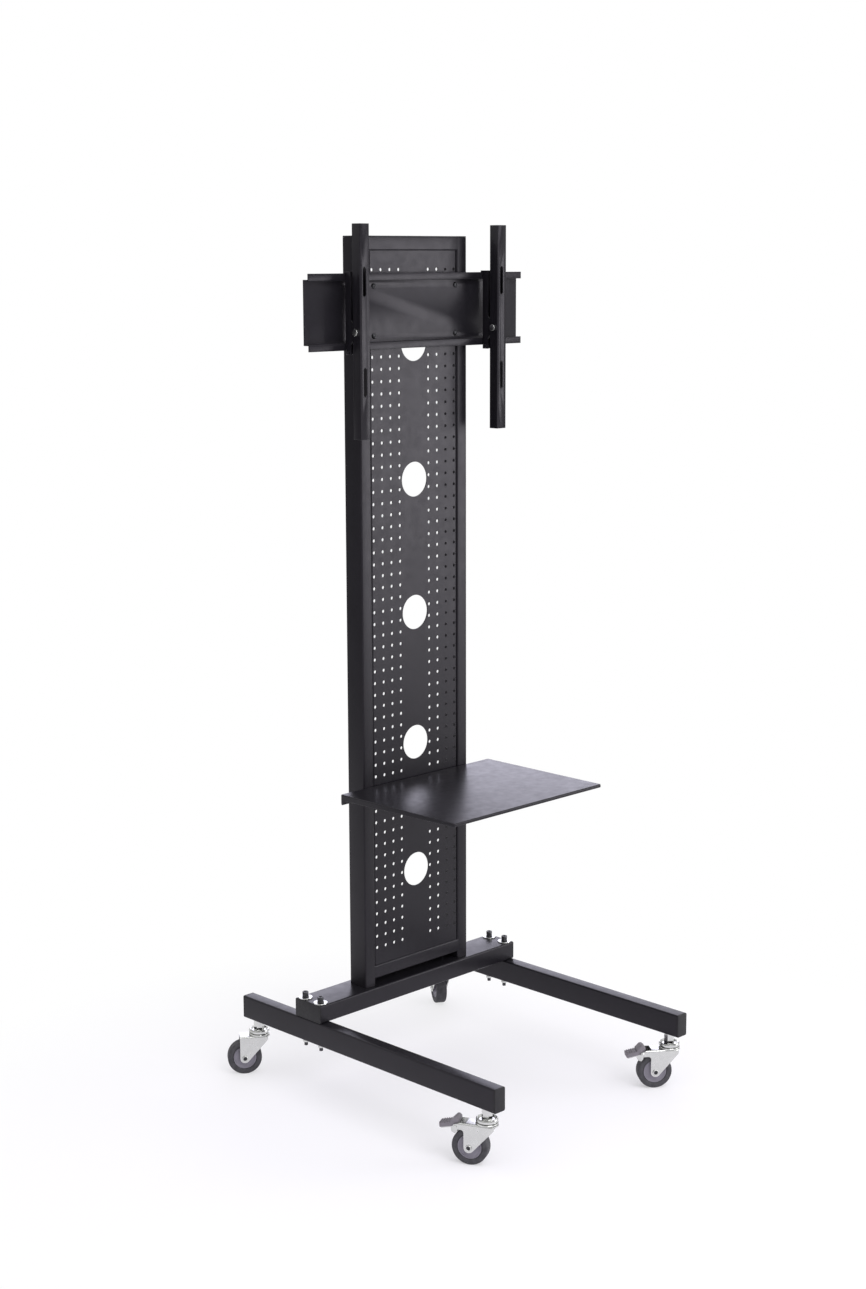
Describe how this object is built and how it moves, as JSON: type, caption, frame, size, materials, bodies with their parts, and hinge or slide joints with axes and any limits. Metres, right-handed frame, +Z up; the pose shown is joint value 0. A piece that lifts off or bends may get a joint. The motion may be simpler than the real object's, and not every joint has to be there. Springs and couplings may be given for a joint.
{
  "type": "tv stand",
  "caption": "Rolling stand for a flat screen: long feet on braked swivel casters, a perforated column with cable holes, a shelf and a tilting slotted screen bracket.",
  "frame": {"origin": "on the floor under the middle of the stand", "axes": "+Z up, -Y is the front where the screen and the shelf face, +X to the right as seen from the front"},
  "size_m": [0.6779, 0.7913, 1.8327],
  "materials": {
    "black_steel": "satin black powder coat",
    "black_plastic": "fine-grained black plastic",
    "black_bolt": "blackened steel",
    "zinc": "bright zinc plate",
    "grey_tyre": "dark grey rubber",
    "grey_wheel": "moulded grey plastic",
    "pedal": "moulded warm grey plastic"
  },
  "bodies": {
    "stand": {"bottom_rail": "black_steel", "crossbar": "black_steel", "front_left_base_bolt": "black_bolt", "front_left_caster_stem": "zinc", "front_left_leg_plug": "black_plastic", "front_right_base_bolt": "black_bolt", "front_right_caster_stem": "zinc", "front_right_leg_plug": "black_plastic", "hook_rail": "black_steel", "left_crossbar_plug": "black_plastic", "left_hook": "black_steel", "left_leg": "black_steel", "left_tilt_pivot": "zinc", "left_upright": "black_steel", "left_upright_plug": "black_plastic", "perforated_panel": "black_steel", "rail_screw_1": "black_bolt", "rail_screw_2": "black_bolt", "rail_screw_3": "black_bolt", "rail_screw_4": "black_bolt", "rear_left_base_bolt": "black_bolt", "rear_left_caster_stem": "zinc", "rear_left_leg_plug": "black_plastic", "rear_right_base_bolt": "black_bolt", "rear_right_caster_stem": "zinc", "rear_right_leg_plug": "black_plastic", "right_crossbar_plug": "black_plastic", "right_hook": "black_steel", "right_leg": "black_steel", "right_tilt_pivot": "zinc", "right_upright": "black_steel", "right_upright_plug": "black_plastic", "shelf": "black_steel", "shelf_screw_1": "black_bolt", "shelf_screw_2": "black_bolt", "shelf_screw_3": "black_bolt", "shelf_screw_4": "black_bolt", "top_rail": "black_steel"},
    "front_left_caster": {"front_left_fork": "zinc", "front_left_axle": "zinc"},
    "front_left_wheel": {"front_left_hub": "grey_wheel", "front_left_tyre": "grey_tyre"},
    "front_left_brake": {"front_left_brake_lever": "zinc", "front_left_brake_pedal": "pedal"},
    "front_right_caster": {"front_right_fork": "zinc", "front_right_axle": "zinc"},
    "front_right_wheel": {"front_right_hub": "grey_wheel", "front_right_tyre": "grey_tyre"},
    "front_right_brake": {"front_right_brake_lever": "zinc", "front_right_brake_pedal": "pedal"},
    "rear_left_caster": {"rear_left_fork": "zinc", "rear_left_axle": "zinc"},
    "rear_left_wheel": {"rear_left_hub": "grey_wheel", "rear_left_tyre": "grey_tyre"},
    "rear_right_caster": {"rear_right_fork": "zinc", "rear_right_axle": "zinc"},
    "rear_right_wheel": {"rear_right_hub": "grey_wheel", "rear_right_tyre": "grey_tyre"},
    "left_arm": {"left_screen_arm": "black_steel"},
    "right_arm": {"right_screen_arm": "black_steel"}
  },
  "joints": [
    {"name": "front_left_swivel", "type": "hinge", "parent": "stand", "child": "front_left_caster", "pos_m": [-0.285, -0.359, 0.084], "axis": [0, 0, 1], "continuous": true},
    {"name": "front_left_roll", "type": "hinge", "parent": "front_left_caster", "child": "front_left_wheel", "pos_m": [-0.29947, -0.32934, 0.0375], "axis": [-0.8988, -0.4384, 0], "continuous": true},
    {"name": "front_left_brake_press", "type": "hinge", "parent": "front_left_caster", "child": "front_left_brake", "pos_m": [-0.31174, -0.30417, 0.0787], "axis": [0.8988, 0.4384, 0], "range_deg": [0, 30]},
    {"name": "front_right_swivel", "type": "hinge", "parent": "stand", "child": "front_right_caster", "pos_m": [0.285, -0.359, 0.084], "axis": [0, 0, 1], "continuous": true},
    {"name": "front_right_roll", "type": "hinge", "parent": "front_right_caster", "child": "front_right_wheel", "pos_m": [0.25865, -0.33914, 0.0375], "axis": [-0.6018, -0.7986, 0], "continuous": true},
    {"name": "front_right_brake_press", "type": "hinge", "parent": "front_right_caster", "child": "front_right_brake", "pos_m": [0.23628, -0.32229, 0.0787], "axis": [0.6018, 0.7986, 0], "range_deg": [0, 30]},
    {"name": "rear_left_swivel", "type": "hinge", "parent": "stand", "child": "rear_left_caster", "pos_m": [-0.285, 0.333, 0.084], "axis": [0, 0, 1], "continuous": true},
    {"name": "rear_left_roll", "type": "hinge", "parent": "rear_left_caster", "child": "rear_left_wheel", "pos_m": [-0.3117, 0.3524, 0.0375], "axis": [-0.5878, -0.809, 0], "continuous": true},
    {"name": "rear_right_swivel", "type": "hinge", "parent": "stand", "child": "rear_right_caster", "pos_m": [0.285, 0.333, 0.084], "axis": [0, 0, 1], "continuous": true},
    {"name": "rear_right_roll", "type": "hinge", "parent": "rear_right_caster", "child": "rear_right_wheel", "pos_m": [0.30249, 0.36099, 0.0375], "axis": [-0.848, 0.5299, 0], "continuous": true},
    {"name": "left_arm_tilt", "type": "hinge", "parent": "stand", "child": "left_arm", "pos_m": [-0.2, 0.0749, 1.6177], "axis": [1, 0, 0], "range_deg": [-5, 10]},
    {"name": "right_arm_tilt", "type": "hinge", "parent": "stand", "child": "right_arm", "pos_m": [0.2, 0.0749, 1.6177], "axis": [1, 0, 0], "range_deg": [-5, 10]}
  ]
}
